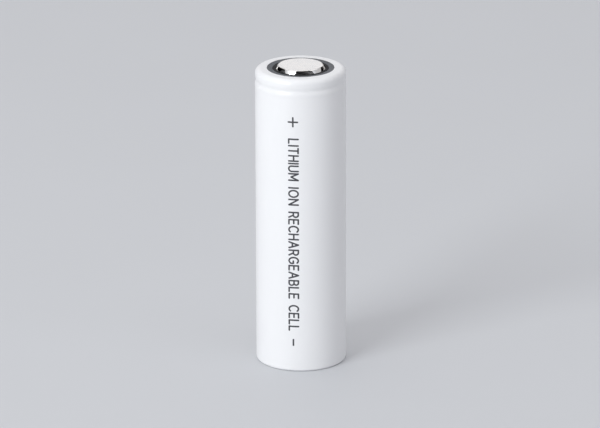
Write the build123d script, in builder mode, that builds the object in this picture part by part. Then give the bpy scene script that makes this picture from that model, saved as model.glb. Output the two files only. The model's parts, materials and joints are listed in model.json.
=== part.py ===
"""Cylindrical rechargeable cell in the 21 by 70 mm format, as an assembly of separate pieces.

The cell stands on its negative end, centred on Z, with its positive cap on top. A white
shrink sleeve covers a deep-drawn steel can. Inside are two coated electrode foils wound with
two separators round a hollow pin, and the can is closed by a header of pressed discs that a
rolled bead and a crimped lip hold in a moulded gasket. All sizes are in millimetres.
"""

import os
from math import asin, atan2, cos, degrees, sin

from build123d import *

# Overall sizes
cell_diameter = 21.0  # over the sleeve
cell_height = 71.5  # to the top of the positive cap
cap_stand = 0.7  # how far the cap stands above the sleeve

# Sleeve
sleeve_thickness = 0.1
sleeve_gap = 0.01  # film of air left by shrinking, between sleeve and can
sleeve_shoulder_round = 1.25  # outside, at the positive end
sleeve_foot_round = 0.6  # outside, at the negative end
sleeve_dip = 0.24  # how far the sleeve sags into the rolled bead
sleeve_dip_reach = 0.9  # half the height of that sag
sleeve_dip_round = 1.3
sleeve_dip_mouth_round = 0.9
sleeve_foot_lap = 2.1  # how far the sleeve folds in under the can

# Can
can_wall = 0.25
can_floor_thickness = 0.4
bead_depth = 1.3
bead_width = 1.2  # groove width outside, between its flanks
bead_mouth_round = 0.4
bead_root_round = 0.5

# Positive cap, which sets the openings above it
cap_thickness = 0.35
cap_top_radius = 5.2
cap_base_radius = 5.9
cap_base_round = 0.2
cap_top_round = 0.6
vent_count = 5
vent_foot_width = 4.6
vent_head_width = 3.1
vent_height = 0.9  # upright, from foot to head
vent_below_top = 0.08
vent_cut_depth = 1.0  # how far in from the wall the punch reaches
vent_corner_round = 0.1
first_vent_angle = 280.6  # degrees about Z, anticlockwise from +X

# Openings round the cap, each a radial step out from the one before
gasket_mouth_gap = 0.05  # cap wall to the gasket's collar
gasket_heel_gap = 0.2  # foot of the cap wall to the gasket
gasket_heel_height = 0.25  # height over which that gap closes
gasket_collar_gap = 0.05  # collar to washer bore
washer_bore_step = 0.6  # foot of the cap wall to washer bore
washer_shown_width = 1.25  # washer seen inside the sleeve's lip
crimp_cover = 0.6  # how far the washer hides the crimped edge
washer_thickness = 0.2
washer_side_gap = 0.15  # washer rim to where the can's shoulder starts to fall

# Gasket and header stack
gasket_wall = 0.35
gasket_lip_thickness = 0.3
gasket_lip_round = 0.12
gasket_floor_thickness = 0.4
gasket_floor_reach = 0.35  # floor shown inside the bead
vent_disc_thickness = 0.25
vent_disc_drop = 0.5
vent_disc_step_radius = 7.6
vent_disc_step_run = 0.35
vent_disc_round = 0.12
boss_radius = 1.2
boss_drop = 0.45
boss_run = 0.6
score_radius = 4.0
score_width = 0.3
score_depth = 0.12
cid_insulator_radius = 6.9
cid_insulator_wall = 0.4
cid_shoulder_width = 1.7
cid_plate_thickness = 0.4
cid_hole_count = 6
cid_hole_radius = 0.7
cid_hole_circle = 3.4
cid_plate_gap = 0.03
weld_groove_radius = 1.6
weld_groove_width = 0.25
weld_groove_depth = 0.2

# Winding
foil_thickness = 0.02
coating_thickness = 0.07
separator_thickness = 0.02
layer_gap = 0.01
separator_overhang = 0.6  # separator past the anode, at each end
anode_overhang = 0.5  # anode past the cathode, at each end
roll_clearance = 0.08  # winding to can
closing_tape_thickness = 0.04
closing_tape_width = 9.0
closing_tape_inset = 6.0  # from each end of the winding
pin_radius = 1.75
pin_wall = 0.2
pin_slit = 0.4
pin_clearance = 0.1
pin_inset = 0.3

# Tabs and their tapes
tab_width = 3.0
tab_thickness = 0.07
tab_window_margin = 1.0  # bare foil at each side of a tab
tab_end_inset = 10.0  # each tab stops this far short of the foil's other edge
tab_tape_thickness = 0.05
tab_tape_margin = 0.5
tab_lift = 0.05  # cathode tab above the upper disc
tab_fold_reach = 3.0  # how far past the axis the cathode tab folds back
tab_fold_share = 0.48  # round of each fold, as a share of the height between the two runs
tab_weld_reach = 1.5  # how far past the axis each tab's weld reaches
cathode_tab_turn = 10  # half turns from the start of the winding

# Insulator discs
insulator_thickness = 0.3
insulator_side_gap = 0.1
bead_gap = 0.05  # upper disc to the bead's underside
roll_end_gap = 0.1
tab_slot_gap = 0.25
upper_hole_count = 6
upper_hole_radius = 1.25
upper_hole_circle = 7.2
upper_centre_hole_radius = 1.1
lower_centre_hole_radius = 2.0
lower_disc_gap = 0.04

# Radii that follow
sleeve_radius = cell_diameter / 2
can_radius = sleeve_radius - sleeve_thickness - sleeve_gap
can_bore_radius = can_radius - can_wall
bead_bore_radius = can_bore_radius - bead_depth
header_radius = can_bore_radius - gasket_wall
gasket_heel_radius = cap_base_radius + gasket_heel_gap
washer_bore_radius = cap_base_radius + washer_bore_step
gasket_collar_radius = washer_bore_radius - gasket_collar_gap
sleeve_lip_radius = washer_bore_radius + washer_shown_width
crimp_edge_radius = washer_bore_radius + crimp_cover
gasket_floor_radius = bead_bore_radius - gasket_floor_reach
cid_insulator_bore_radius = cid_insulator_radius - cid_insulator_wall

# A shoulder round is limited by the flat that the washer needs beside it
sleeve_shoulder = min(sleeve_shoulder_round, sleeve_radius - sleeve_lip_radius - washer_side_gap)
can_shoulder = sleeve_shoulder - sleeve_thickness
can_foot = sleeve_foot_round - sleeve_thickness
washer_radius = can_radius - can_shoulder - washer_side_gap

# Levels that follow, from the top down
sleeve_top = cell_height - cap_stand
washer_top = sleeve_top - sleeve_thickness
crimp_top = washer_top - washer_thickness
crimp_underside = crimp_top - can_wall
flange_top = crimp_underside - gasket_lip_thickness
flange_bottom = flange_top - cap_thickness
gasket_heel_level = flange_top + gasket_heel_height
disc_bottom = flange_bottom - vent_disc_thickness
seat_level = disc_bottom - gasket_floor_thickness
bead_top = seat_level - can_wall
bead_bottom = bead_top - bead_width
bead_middle = (bead_top + bead_bottom) / 2
membrane_top = flange_bottom - vent_disc_drop
membrane_bottom = membrane_top - vent_disc_thickness
boss_top = membrane_top - boss_drop
cid_plate_top = boss_top - vent_disc_thickness
cid_plate_bottom = cid_plate_top - cid_plate_thickness
upper_disc_top = bead_bottom - can_wall - bead_gap
upper_disc_bottom = upper_disc_top - insulator_thickness
roll_top = upper_disc_bottom - roll_end_gap

# Levels that follow, from the bottom up
can_base = sleeve_thickness + sleeve_gap
can_floor = can_base + can_floor_thickness
lower_disc_bottom = can_floor + tab_thickness + lower_disc_gap
lower_disc_top = lower_disc_bottom + insulator_thickness
roll_bottom = lower_disc_top + roll_end_gap

# Layers of one turn, as distances outwards from the turn's inner face
electrode_thickness = foil_thickness + 2 * coating_thickness
inner_separator_at = 0.0
anode_at = inner_separator_at + separator_thickness + layer_gap
outer_separator_at = anode_at + electrode_thickness + layer_gap
cathode_at = outer_separator_at + separator_thickness + layer_gap
packed_pitch = cathode_at + electrode_thickness + layer_gap

# The winding is made of half circles about two centres, so each half turn is wider by half a
# pitch than the one before. As many whole turns as fit are spread to fill the room in the can.
core_radius = pin_radius + pin_clearance
winding_room = can_bore_radius - roll_clearance - core_radius
turns = int(winding_room / packed_pitch) - 1
half_turns = 2 * turns
turn_pitch = winding_room / (turns + 1)
centre_shift = turn_pitch / 4
half_turn_growth = turn_pitch / 2
winding_start_radius = core_radius + centre_shift
anode_first, anode_last = 2, half_turns - 1
cathode_first, cathode_last = 4, half_turns - 3
anode_tab_turn = anode_last - 2  # the last whole half turn of anode on the -Y side

anode_bottom, anode_top = roll_bottom + separator_overhang, roll_top - separator_overhang
cathode_bottom, cathode_top = anode_bottom + anode_overhang, anode_top - anode_overhang

# Tabs: each lies on the outer face of its foil, in a window in the coating
tab_at = coating_thickness + foil_thickness
bare_width = tab_width + 2 * tab_window_margin
bare_depth = coating_thickness + 2 * layer_gap
slot_at = tab_at - tab_slot_gap
slot_depth = tab_thickness + 2 * tab_slot_gap
slot_width = tab_width + 2 * tab_slot_gap
cathode_tab_radius = winding_start_radius + cathode_tab_turn * half_turn_growth + cathode_at + tab_at
anode_tab_radius = winding_start_radius + anode_tab_turn * half_turn_growth + anode_at + tab_at
fold_low = upper_disc_top + tab_lift + tab_thickness / 2
fold_high = cid_plate_bottom - tab_thickness / 2

# The lower disc is small enough to clear the round inside the can's foot
lower_disc_radius = can_bore_radius - (can_foot - can_wall)


def draw_outline(points, radii=None):
    """A closed outline of (radius, height) points, with a round at each where one is given."""
    FilletPolyline(*points, radius=radii or 0, close=True)


def draw_pressed(path, radii, thickness):
    """The section of a pressed sheet of even thickness, below a path that runs in to the axis."""
    FilletPolyline(*path, radius=radii)
    offset(amount=thickness, side=Side.LEFT, mode=Mode.ADD)


def draw_shell(outside, inside):
    """The section between two faces, each given as its points and its rounds."""
    outer = FilletPolyline(*outside[0], radius=outside[1])
    inner = FilletPolyline(*inside[0], radius=inside[1])
    Line(outer @ 0, inner @ 0)
    Line(outer @ 1, inner @ 1)


def sleeve_face(inset):
    """The sleeve's face at an inset from its outside, from its folded foot to its folded lip."""
    wall = sleeve_radius - inset
    points = [
        (sleeve_radius - sleeve_foot_lap, inset),
        (wall, inset),
        (wall, bead_middle - sleeve_dip_reach),
        (wall - sleeve_dip, bead_middle),
        (wall, bead_middle + sleeve_dip_reach),
        (wall, sleeve_top - inset),
        (sleeve_lip_radius, sleeve_top - inset),
    ]
    radii = [
        sleeve_foot_round - inset,
        sleeve_dip_mouth_round - inset,
        sleeve_dip_round + inset,
        sleeve_dip_mouth_round - inset,
        sleeve_shoulder - inset,
    ]
    return points, radii


def can_face(inset, floor_level, edge_level):
    """The can's face at an inset from its outside, from the axis to the crimped edge."""
    wall = can_radius - inset
    root = wall - bead_depth
    points = [
        (0, floor_level),
        (wall, floor_level),
        (wall, bead_bottom - inset),
        (root, bead_bottom - inset),
        (root, bead_top + inset),
        (wall, bead_top + inset),
        (wall, edge_level),
        (crimp_edge_radius, edge_level),
    ]
    radii = [
        can_foot - inset,
        bead_mouth_round - inset,
        bead_root_round + inset,
        bead_root_round + inset,
        bead_mouth_round - inset,
        can_shoulder - inset,
    ]
    return points, radii


def cap_wall_radius(level):
    """Outer radius of the cap's sloping wall at a level."""
    share = (level - flange_top) / (cell_height - flange_top)
    return cap_base_radius + share * (cap_top_radius - cap_base_radius)


def half_turn_centre(index):
    """X of the centre of a half turn: even ones lie on +Y and odd ones on -Y."""
    return -centre_shift if index % 2 == 0 else centre_shift


def half_turn_radius(index):
    """Radius of the inner face of a half turn."""
    return winding_start_radius + index * half_turn_growth


def draw_wound_end(distance, thickness, index):
    """The straight end of a wound strip, where a half turn starts."""
    side = 1 if index % 2 == 0 else -1
    start = half_turn_centre(index) + side * (half_turn_radius(index) + distance)
    Line((start, 0), (start + side * thickness, 0))


def draw_wound(distance, thickness, first, last):
    """The outline of a strip wound from one half turn to another, outside each inner face."""
    for edge in (distance, distance + thickness):
        for index in range(first, last):
            centre = (half_turn_centre(index), 0)
            CenterArc(centre, half_turn_radius(index) + edge, 180 * (index % 2), 180)
    draw_wound_end(distance, thickness, first)
    draw_wound_end(distance, thickness, last)


def draw_patch(index, distance, thickness, width):
    """The outline of a piece of a half turn, as wide as asked, in that half turn's middle."""
    centre = (half_turn_centre(index), 0)
    inner = half_turn_radius(index) + distance
    outer = inner + thickness
    half_angle = degrees(asin(width / 2 / outer))
    start = 90 + 180 * (index % 2) - half_angle
    inside = CenterArc(centre, inner, start, 2 * half_angle)
    outside = CenterArc(centre, outer, start, 2 * half_angle)
    Line(inside @ 0, outside @ 0)
    Line(inside @ 1, outside @ 1)


# Shrink sleeve: one thickness throughout, folded in at both ends
with BuildPart() as sleeve:
    with BuildSketch(Plane.XZ):
        with BuildLine():
            draw_shell(sleeve_face(0), sleeve_face(sleeve_thickness))
        make_face()
    revolve(axis=Axis.Z)
sleeve.part.label = "sleeve"

# Can: deep drawn, with the rolled bead and the crimped lip
with BuildPart() as can:
    with BuildSketch(Plane.XZ):
        with BuildLine():
            draw_shell(
                can_face(0, can_base, crimp_top),
                can_face(can_wall, can_floor, crimp_underside),
            )
        make_face()
    revolve(axis=Axis.Z)
can.part.label = "can"

# Insulating washer on the crimped lip, under the sleeve's lip
with BuildPart() as top_washer:
    with BuildSketch(Plane.XY.offset(crimp_top)):
        Circle(washer_radius)
        Circle(washer_bore_radius, mode=Mode.SUBTRACT)
    extrude(amount=washer_thickness)
top_washer.part.label = "top_washer"

# Gasket: a floor on the bead, a wall in the can, a lip that the crimp folds over the header, and a
# collar that stands round the cap inside the washer
with BuildPart() as sealing_gasket:
    with BuildSketch(Plane.XZ):
        with BuildLine():
            draw_outline(
                [
                    (gasket_floor_radius, seat_level),
                    (can_bore_radius, seat_level),
                    (can_bore_radius, crimp_underside),
                    (crimp_edge_radius, crimp_underside),
                    (crimp_edge_radius, crimp_top),
                    (gasket_collar_radius, crimp_top),
                    (gasket_collar_radius, washer_top),
                    (cap_wall_radius(washer_top) + gasket_mouth_gap, washer_top),
                    (cap_wall_radius(gasket_heel_level) + gasket_mouth_gap, gasket_heel_level),
                    (gasket_heel_radius, flange_top),
                    (header_radius, flange_top),
                    (header_radius, disc_bottom),
                    (gasket_floor_radius, disc_bottom),
                ],
                [
                    0,
                    bead_mouth_round - can_wall,
                    can_shoulder - can_wall,
                    0,
                    0,
                    0,
                    gasket_lip_round,
                    gasket_lip_round,
                    0,
                    0,
                    0,
                    0,
                    0,
                ],
            )
        make_face()
    revolve(axis=Axis.Z)
sealing_gasket.part.label = "sealing_gasket"

# Punch for one vent window, square to the wall at +X and wider at its foot
cap_wall_lean = atan2(cap_base_radius - cap_top_radius, cell_height - flange_top)
vent_middle = cell_height - vent_below_top - vent_height / 2
vent_reach = vent_height / 2 / cos(cap_wall_lean)
vent_plane = Plane(
    origin=(cap_wall_radius(vent_middle), 0, vent_middle),
    x_dir=(0, 1, 0),
    z_dir=(cos(cap_wall_lean), 0, sin(cap_wall_lean)),
)
with BuildPart() as vent_punch:
    with BuildSketch(vent_plane.offset(-vent_cut_depth)):
        with BuildLine():
            draw_outline(
                [
                    (-vent_foot_width / 2, -vent_reach),
                    (vent_foot_width / 2, -vent_reach),
                    (vent_head_width / 2, vent_reach),
                    (-vent_head_width / 2, vent_reach),
                ],
                vent_corner_round,
            )
        make_face()
    extrude(amount=2 * vent_cut_depth)

# Positive cap: a flange, a sloping wall with vent windows, and a flat contact face
with BuildPart() as positive_cap:
    with BuildSketch(Plane.XZ):
        with BuildLine():
            draw_pressed(
                [
                    (header_radius, flange_top),
                    (cap_base_radius, flange_top),
                    (cap_top_radius, cell_height),
                    (0, cell_height),
                ],
                [cap_base_round, cap_top_round],
                cap_thickness,
            )
        make_face()
    revolve(axis=Axis.Z)
    with PolarLocations(0, vent_count, start_angle=first_vent_angle):
        add(vent_punch.part, mode=Mode.SUBTRACT)
positive_cap.part.label = "positive_cap"

# Vent disc: its rim is clamped under the cap's flange, and its boss reaches the plate below
with BuildPart() as vent_disc:
    with BuildSketch(Plane.XZ):
        with BuildLine():
            draw_pressed(
                [
                    (header_radius, flange_bottom),
                    (vent_disc_step_radius, flange_bottom),
                    (vent_disc_step_radius - vent_disc_step_run, membrane_top),
                    (boss_radius + boss_run, membrane_top),
                    (boss_radius, boss_top),
                    (0, boss_top),
                ],
                [
                    vent_disc_round + vent_disc_thickness,
                    vent_disc_round,
                    vent_disc_round + vent_disc_thickness,
                    vent_disc_round,
                ],
                vent_disc_thickness,
            )
        make_face()
    revolve(axis=Axis.Z)
    with BuildSketch(Plane.XY.offset(membrane_top)):
        Circle(score_radius + score_width / 2)
        Circle(score_radius - score_width / 2, mode=Mode.SUBTRACT)
    extrude(amount=-score_depth, mode=Mode.SUBTRACT)
vent_disc.part.label = "vent_disc"

# Ring that keeps the disc and the plate apart, with a skirt round the plate
with BuildPart() as cid_insulator:
    with BuildSketch(Plane.XY.offset(cid_plate_bottom)):
        Circle(cid_insulator_radius)
    extrude(amount=membrane_bottom - cid_plate_bottom)
    with BuildSketch(Plane.XY.offset(cid_plate_bottom)):
        Circle(cid_insulator_bore_radius)
    extrude(amount=cid_plate_thickness, mode=Mode.SUBTRACT)
    with BuildSketch(Plane.XY.offset(cid_plate_bottom)):
        Circle(cid_insulator_bore_radius - cid_shoulder_width)
    extrude(amount=membrane_bottom - cid_plate_bottom, mode=Mode.SUBTRACT)
cid_insulator.part.label = "cid_insulator"

# Plate that carries the current from the cathode tab to the vent disc's boss
with BuildPart() as cid_plate:
    with BuildSketch(Plane.XY.offset(cid_plate_bottom)):
        Circle(cid_insulator_bore_radius - cid_plate_gap)
        with PolarLocations(cid_hole_circle, cid_hole_count):
            Circle(cid_hole_radius, mode=Mode.SUBTRACT)
    extrude(amount=cid_plate_thickness)
    with BuildSketch(Plane.XY.offset(cid_plate_top)):
        Circle(weld_groove_radius)
        Circle(weld_groove_radius - weld_groove_width, mode=Mode.SUBTRACT)
    extrude(amount=-weld_groove_depth, mode=Mode.SUBTRACT)
cid_plate.part.label = "cid_plate"

# Hollow rolled pin in the middle of the winding, with its seam open
with BuildPart() as center_pin:
    with BuildSketch(Plane.XY.offset(roll_bottom + pin_inset)):
        Circle(pin_radius)
        Circle(pin_radius - pin_wall, mode=Mode.SUBTRACT)
        with Locations((pin_radius, 0)):
            Rectangle(pin_radius, pin_slit, mode=Mode.SUBTRACT)
    extrude(amount=roll_top - roll_bottom - 2 * pin_inset)
center_pin.part.label = "center_pin"

# Separators, which reach past both electrodes at every end
with BuildPart() as inner_separator:
    with BuildSketch(Plane.XY.offset(roll_bottom)):
        with BuildLine():
            draw_wound(inner_separator_at, separator_thickness, 0, half_turns)
        make_face()
    extrude(amount=roll_top - roll_bottom)
inner_separator.part.label = "inner_separator"

with BuildPart() as outer_separator:
    with BuildSketch(Plane.XY.offset(roll_bottom)):
        with BuildLine():
            draw_wound(outer_separator_at, separator_thickness, 0, half_turns)
        make_face()
    extrude(amount=roll_top - roll_bottom)
outer_separator.part.label = "outer_separator"

# Electrodes: a foil with a coat on each face, left bare where its tab is welded
with BuildPart() as anode_foil:
    with BuildSketch(Plane.XY.offset(anode_bottom)):
        with BuildLine():
            draw_wound(anode_at + coating_thickness, foil_thickness, anode_first, anode_last)
        make_face()
    extrude(amount=anode_top - anode_bottom)
anode_foil.part.label = "anode_foil"

with BuildPart() as anode_coating:
    for coat_at in (anode_at, anode_at + coating_thickness + foil_thickness):
        with BuildSketch(Plane.XY.offset(anode_bottom)):
            with BuildLine():
                draw_wound(coat_at, coating_thickness, anode_first, anode_last)
            make_face()
            with BuildLine():
                draw_patch(anode_tab_turn, coat_at - layer_gap, bare_depth, bare_width)
            make_face(mode=Mode.SUBTRACT)
        extrude(amount=anode_top - anode_bottom)
anode_coating.part.label = "anode_coating"

with BuildPart() as cathode_foil:
    with BuildSketch(Plane.XY.offset(cathode_bottom)):
        with BuildLine():
            draw_wound(cathode_at + coating_thickness, foil_thickness, cathode_first, cathode_last)
        make_face()
    extrude(amount=cathode_top - cathode_bottom)
cathode_foil.part.label = "cathode_foil"

with BuildPart() as cathode_coating:
    for coat_at in (cathode_at, cathode_at + coating_thickness + foil_thickness):
        with BuildSketch(Plane.XY.offset(cathode_bottom)):
            with BuildLine():
                draw_wound(coat_at, coating_thickness, cathode_first, cathode_last)
            make_face()
            with BuildLine():
                draw_patch(cathode_tab_turn, coat_at - layer_gap, bare_depth, bare_width)
            make_face(mode=Mode.SUBTRACT)
        extrude(amount=cathode_top - cathode_bottom)
cathode_coating.part.label = "cathode_coating"

# Two bands of tape that hold the last half turn closed
with BuildPart() as closing_tapes:
    for tape_bottom in (
        roll_bottom + closing_tape_inset,
        roll_top - closing_tape_inset - closing_tape_width,
    ):
        with BuildSketch(Plane.XY.offset(tape_bottom)):
            with BuildLine():
                draw_wound(cathode_at, closing_tape_thickness, half_turns - 2, half_turns)
            make_face()
        extrude(amount=closing_tape_width)
closing_tapes.part.label = "closing_tapes"

# Cathode tab: welded to bare foil, up through the upper disc, and folded back under the plate
with BuildPart() as cathode_tab:
    with BuildSketch(Plane.XY.offset(cathode_bottom + tab_end_inset)):
        with BuildLine():
            draw_patch(cathode_tab_turn, cathode_at + tab_at, tab_thickness, tab_width)
        make_face()
    extrude(amount=fold_low + tab_thickness / 2 - cathode_bottom - tab_end_inset)
    with BuildSketch(Plane.YZ.offset(half_turn_centre(cathode_tab_turn) - tab_width / 2)):
        with BuildLine():
            FilletPolyline(
                (cathode_tab_radius + tab_thickness / 2, fold_low),
                (-tab_fold_reach, fold_low),
                (-tab_fold_reach, fold_high),
                (tab_weld_reach, fold_high),
                radius=(fold_high - fold_low) * tab_fold_share,
            )
        trace(line_width=tab_thickness)
    extrude(amount=tab_width)
cathode_tab.part.label = "cathode_tab"

with BuildPart() as cathode_tab_tape:
    with BuildSketch(Plane.XY.offset(cathode_bottom)):
        with BuildLine():
            draw_patch(
                cathode_tab_turn,
                cathode_at + coating_thickness - tab_tape_thickness,
                tab_tape_thickness,
                tab_width + 2 * tab_tape_margin,
            )
        make_face()
    extrude(amount=cathode_top - cathode_bottom)
cathode_tab_tape.part.label = "cathode_tab_tape"

# Anode tab: welded to the bare end of the foil, down past the lower disc and in to the floor weld
with BuildPart() as anode_tab:
    with BuildSketch(Plane.XY.offset(can_floor)):
        with BuildLine():
            draw_patch(anode_tab_turn, anode_at + tab_at, tab_thickness, tab_width)
        make_face()
    extrude(amount=anode_top - tab_end_inset - can_floor)
    with BuildSketch(Plane.XY.offset(can_floor)):
        with Locations((half_turn_centre(anode_tab_turn), tab_weld_reach)):
            Rectangle(
                tab_width,
                anode_tab_radius + tab_thickness / 2 + tab_weld_reach,
                align=(Align.CENTER, Align.MAX),
            )
    extrude(amount=tab_thickness)
anode_tab.part.label = "anode_tab"

with BuildPart() as anode_tab_tape:
    with BuildSketch(Plane.XY.offset(anode_bottom)):
        with BuildLine():
            draw_patch(
                anode_tab_turn,
                anode_at + coating_thickness - tab_tape_thickness,
                tab_tape_thickness,
                tab_width + 2 * tab_tape_margin,
            )
        make_face()
    extrude(amount=anode_top - anode_bottom)
anode_tab_tape.part.label = "anode_tab_tape"

# Insulator discs above and below the winding, each with a middle hole and a slot for a tab
with BuildPart() as upper_insulator:
    with BuildSketch(Plane.XY.offset(upper_disc_bottom)):
        Circle(can_bore_radius - insulator_side_gap)
        Circle(upper_centre_hole_radius, mode=Mode.SUBTRACT)
        with PolarLocations(upper_hole_circle, upper_hole_count):
            Circle(upper_hole_radius, mode=Mode.SUBTRACT)
        with BuildLine():
            draw_patch(cathode_tab_turn, cathode_at + slot_at, slot_depth, slot_width)
        make_face(mode=Mode.SUBTRACT)
    extrude(amount=insulator_thickness)
upper_insulator.part.label = "upper_insulator"

with BuildPart() as lower_insulator:
    with BuildSketch(Plane.XY.offset(lower_disc_bottom)):
        Circle(lower_disc_radius)
        Circle(lower_centre_hole_radius, mode=Mode.SUBTRACT)
        with Locations((half_turn_centre(anode_tab_turn), tab_slot_gap - anode_tab_radius)):
            Rectangle(
                slot_width,
                can_bore_radius,
                align=(Align.CENTER, Align.MAX),
                mode=Mode.SUBTRACT,
            )
    extrude(amount=insulator_thickness)
lower_insulator.part.label = "lower_insulator"

pieces = [
    sleeve,
    can,
    top_washer,
    sealing_gasket,
    positive_cap,
    vent_disc,
    cid_insulator,
    cid_plate,
    upper_insulator,
    lower_insulator,
    center_pin,
    inner_separator,
    outer_separator,
    anode_foil,
    anode_coating,
    cathode_foil,
    cathode_coating,
    closing_tapes,
    cathode_tab,
    cathode_tab_tape,
    anode_tab,
    anode_tab_tape,
]

os.makedirs("parts", exist_ok=True)
for piece in pieces:
    export_step(piece.part, f"parts/{piece.part.label}.step")
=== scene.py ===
"""Looks of a sleeved cylindrical cell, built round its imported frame.

All sizes are in metres and every piece lies where the frame puts it: +Z runs from the negative
end to the positive cap, and -Y is the printed side. Each piece is a surface worked out from its
section, and each finish is a set of shader nodes that read Object coordinates.
"""

import json
from math import cos, pi, radians, sin

import bmesh
import bpy
import numpy as np
from bpy.props import FloatProperty, FloatVectorProperty, IntProperty, PointerProperty, StringProperty
from mathutils import Matrix, Vector


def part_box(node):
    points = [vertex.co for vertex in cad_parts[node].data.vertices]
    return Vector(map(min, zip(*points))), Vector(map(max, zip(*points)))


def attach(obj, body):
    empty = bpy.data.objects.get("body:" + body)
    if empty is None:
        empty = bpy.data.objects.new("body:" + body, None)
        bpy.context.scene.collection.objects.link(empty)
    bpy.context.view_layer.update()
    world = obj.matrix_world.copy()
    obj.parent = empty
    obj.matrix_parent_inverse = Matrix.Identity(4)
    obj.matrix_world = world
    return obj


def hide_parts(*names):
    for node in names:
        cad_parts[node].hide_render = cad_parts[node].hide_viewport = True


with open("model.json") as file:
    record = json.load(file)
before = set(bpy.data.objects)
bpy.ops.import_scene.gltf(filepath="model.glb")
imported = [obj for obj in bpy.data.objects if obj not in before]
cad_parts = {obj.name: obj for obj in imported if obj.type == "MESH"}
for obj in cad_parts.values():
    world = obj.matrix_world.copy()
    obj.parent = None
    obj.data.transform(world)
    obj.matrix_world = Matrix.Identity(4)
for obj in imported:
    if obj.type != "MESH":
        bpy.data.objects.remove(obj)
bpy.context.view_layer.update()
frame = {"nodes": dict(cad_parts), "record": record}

bl_info = {
    "name": "Cylindrical Cell",
    "version": (1, 0, 0),
    "blender": (4, 5, 0),
    "location": "View3D > Sidebar > Cell",
    "description": "Builds the sleeve, cap, washer, print and finishes of a cylindrical cell",
    "category": "Object",
}

BODY = "root"

SLEEVE_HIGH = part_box("sleeve")[1]
WASHER_LOW, WASHER_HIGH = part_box("top_washer")
CAP_LOW, CAP_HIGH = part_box("positive_cap")
GASKET_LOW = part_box("sealing_gasket")[0]
WALL_RADIUS = SLEEVE_HIGH.x
LIP_LEVEL = SLEEVE_HIGH.z

# Points nearer than this are merged, and edges shorter than the second are dropped
MERGE_DISTANCE = 2e-7
SHORTEST_EDGE = 1e-8

# Steps along the film's section: on the lip, round the shoulder, past the bead, down the plain
# wall, round the foot and on the fold under it
FILM_STEPS = (20, 22, 54, 26, 18, 10)
EDGE_STEPS = 5  # round a cut or punched edge
WASHER_AROUND = 256

# Waves round the axis: the counts and the seed of each sum of cosines
WANDER_WAVES = ((3, 5, 8, 13, 21), 11)
LIFT_WAVES = ((7, 11, 18, 26), 12)
PUCKER_WAVES = ((17, 23, 31, 44), 13)
LIP_BAND = 2.5  # depth of the lip's wandering part, in film thicknesses
LIP_FADE = 4.0  # how fast the wander fades along the film, in film thicknesses
LIFT_SHARE = 0.3  # how far the lip lifts, as a share of its wander
PUCKER_SPREAD = 0.6  # half height of the puckered band, in shoulder rounds
PUCKER_REACH = 1.4  # how far in from the wall the film puckers, in shoulder rounds
CREASE_SPREAD = 0.45  # half width of the creased part round the axis, in radians
CREASE_SLANT = 5  # how fast the creases shift along the film as they run round
CREASE_WOBBLE = 9  # waves in each crease, per radian

# Rows of the cap from its rim: below the windows, beside them, round the top edge, on the top
CAP_ROWS = (34, 22, 8, 24)
ROUND_STEPS = 24
SECTION_POINTS = 1500
LEG_COLUMNS = 9
WINDOW_COLUMNS = 22

# Print: distance between points of a stroke, steps round its end, points of a bow
STROKE_SPACING = 0.00012
END_STEPS = 5
BOW_POINTS = 19

# Stage: each soft light's place, size and tint, whose power is a setting
LIGHTS = {
    "key": ((-0.9, -1.0, 0.56), (0.7, 0.9), (0.95, 0.98, 1.0)),
    "fill": ((1.1, -0.7, 0.6), (0.6, 0.8), (0.8, 0.85, 1.0)),
    "top": ((0.0, 0.15, 1.25), (1.7, 1.7), (1.0, 1.0, 1.0)),
    "back": ((0.0, 1.3, 0.6), (1.2, 0.5), (1.0, 1.0, 1.0)),
}
SKY_COLOUR = (0.965, 0.965, 1.0, 1.0)
FLOOR_REACH = 3.0
FLOOR_STEPS = 25
SENSOR_WIDTH = 36.0


# Settings


def length(name, description, default):
    """A size property in metres."""
    return FloatProperty(
        name=name,
        description=description,
        default=default,
        precision=6,
        unit="LENGTH",
        subtype="DISTANCE",
    )


def colour(name, description, default):
    """A linear colour property."""
    return FloatVectorProperty(
        name=name, description=description, default=default, size=3, min=0.0, max=1.0, subtype="COLOR"
    )


def number(name, description, default):
    """A plain number property."""
    return FloatProperty(name=name, description=description, default=default, precision=4)


def angle(name, description, default):
    """An angle property, given here in degrees."""
    return FloatProperty(
        name=name, description=description, default=radians(default), precision=4, subtype="ANGLE"
    )


def count(name, description, default):
    """A whole number property."""
    return IntProperty(name=name, description=description, default=default, min=1)


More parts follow.
